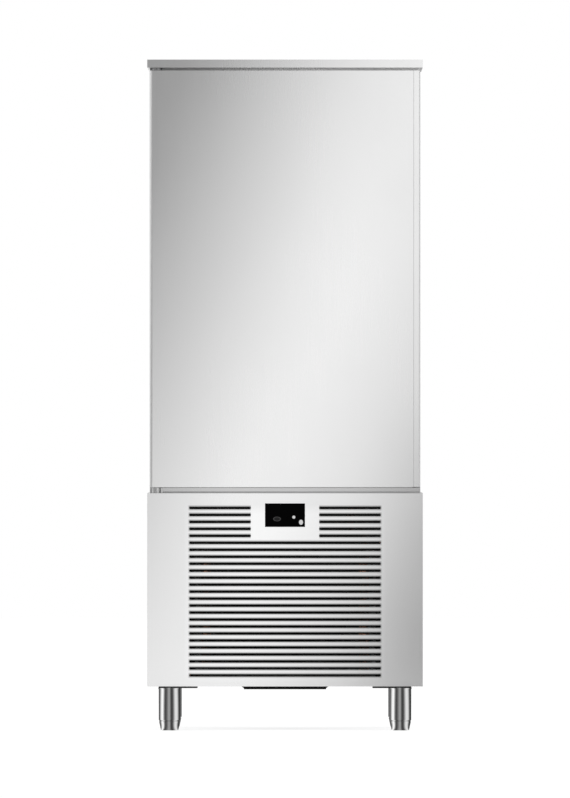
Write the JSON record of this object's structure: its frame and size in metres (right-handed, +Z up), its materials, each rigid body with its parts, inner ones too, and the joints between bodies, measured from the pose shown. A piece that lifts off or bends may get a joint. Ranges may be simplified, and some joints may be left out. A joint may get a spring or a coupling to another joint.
{
  "type": "blast chiller",
  "caption": "Upright stainless steel blast chiller with a full-height door on the left hinge, a louvred machine compartment with a black touch panel below, and levelling feet.",
  "frame": {"origin": "on the floor, under the middle of the machine's footprint", "axes": "+Z up, -Y out of the door's front, +X to the right seen from the front"},
  "size_m": [0.79, 0.8, 1.924],
  "materials": {
    "brushed_steel": "fine vertical brushed grain, satin",
    "liner_steel": "smooth satin food-safe sheet",
    "polished_steel": "turned and polished",
    "galvanised": "galvanised sheet, satin",
    "aluminium": "mill finish fins",
    "copper": "drawn copper tube",
    "foam": "rigid polyurethane foam",
    "black_plastic": "matte black moulding",
    "grey_plastic": "matte grey moulding",
    "seal": "soft dark grey seal",
    "glass": "gloss black touch panel",
    "black_steel": "black paint, semi-gloss"
  },
  "bodies": {
    "cabinet": {"outer_shell": "brushed_steel", "back_panel": "galvanised", "inner_liner": "liner_steel", "insulation": "foam", "top_cover": "brushed_steel", "door_sill": "brushed_steel", "hinge_bracket_bottom": "black_steel", "hinge_bracket_top": "black_steel", "rack_left": "liner_steel", "rack_right": "liner_steel", "evaporator": "aluminium", "coil_bracket_left": "galvanised", "coil_bracket_right": "galvanised", "drain_pipe": "grey_plastic", "front_panel": "brushed_steel", "controller_glass": "glass", "controller_housing": "black_plastic", "side_panel_left": "brushed_steel", "side_panel_right": "brushed_steel", "base_plate": "galvanised", "deck_plate": "galvanised", "rear_grille": "brushed_steel", "cable_gland": "black_plastic", "fan_shroud": "galvanised", "electrical_box": "grey_plastic", "suction_pipe": "copper", "discharge_pipe": "copper", "condenser_pipe": "copper", "liquid_pipe": "copper", "condensate_pan": "black_plastic", "compressor": "black_steel", "condenser": "aluminium", "receiver": "black_steel", "condenser_fan_motor": "black_steel", "leg_1": "polished_steel", "leg_2": "polished_steel", "leg_3": "polished_steel", "leg_4": "polished_steel"},
    "door": {"door_skin": "brushed_steel", "door_foam": "foam", "door_liner": "liner_steel", "door_gasket": "seal", "door_handle": "brushed_steel", "hinge_bush_bottom": "grey_plastic", "hinge_bush_top": "grey_plastic"},
    "fan_panel": {"fan_panel": "liner_steel", "fan_guard_1": "polished_steel", "fan_guard_2": "polished_steel", "fan_motor_1": "black_steel", "fan_motor_2": "black_steel"},
    "fan_wheel_1": {"fan_rotor_1": "black_plastic"},
    "fan_wheel_2": {"fan_rotor_2": "black_plastic"},
    "condenser_fan": {"condenser_fan_rotor": "black_plastic"},
    "levelling_foot_1": {"foot_1": "polished_steel"},
    "levelling_foot_2": {"foot_2": "polished_steel"},
    "levelling_foot_3": {"foot_3": "polished_steel"},
    "levelling_foot_4": {"foot_4": "polished_steel"}
  },
  "joints": [
    {"name": "door_hinge", "type": "hinge", "parent": "cabinet", "child": "door", "pos_m": [-0.367, -0.37, 1.296], "axis": [0, 0, -1], "range_deg": [0, 110]},
    {"name": "fan_panel_hinge", "type": "hinge", "parent": "cabinet", "child": "fan_panel", "pos_m": [-0.238, 0.186, 1.291], "axis": [0, 0, -1], "range_deg": [0, 90]},
    {"name": "fan_1_spin", "type": "hinge", "parent": "fan_panel", "child": "fan_wheel_1", "pos_m": [0, 0.199, 1.0295], "axis": [0, 1, 0], "continuous": true},
    {"name": "fan_2_spin", "type": "hinge", "parent": "fan_panel", "child": "fan_wheel_2", "pos_m": [0, 0.199, 1.5525], "axis": [0, 1, 0], "continuous": true},
    {"name": "condenser_fan_spin", "type": "hinge", "parent": "cabinet", "child": "condenser_fan", "pos_m": [0, -0.2427, 0.3505], "axis": [0, 1, 0], "continuous": true},
    {"name": "foot_1_screw", "type": "slide", "parent": "cabinet", "child": "levelling_foot_1", "axis": [0, 0, -1], "range_m": [0, 0.03]},
    {"name": "foot_2_screw", "type": "slide", "parent": "cabinet", "child": "levelling_foot_2", "axis": [0, 0, -1], "range_m": [0, 0.03]},
    {"name": "foot_3_screw", "type": "slide", "parent": "cabinet", "child": "levelling_foot_3", "axis": [0, 0, -1], "range_m": [0, 0.03]},
    {"name": "foot_4_screw", "type": "slide", "parent": "cabinet", "child": "levelling_foot_4", "axis": [0, 0, -1], "range_m": [0, 0.03]}
  ]
}
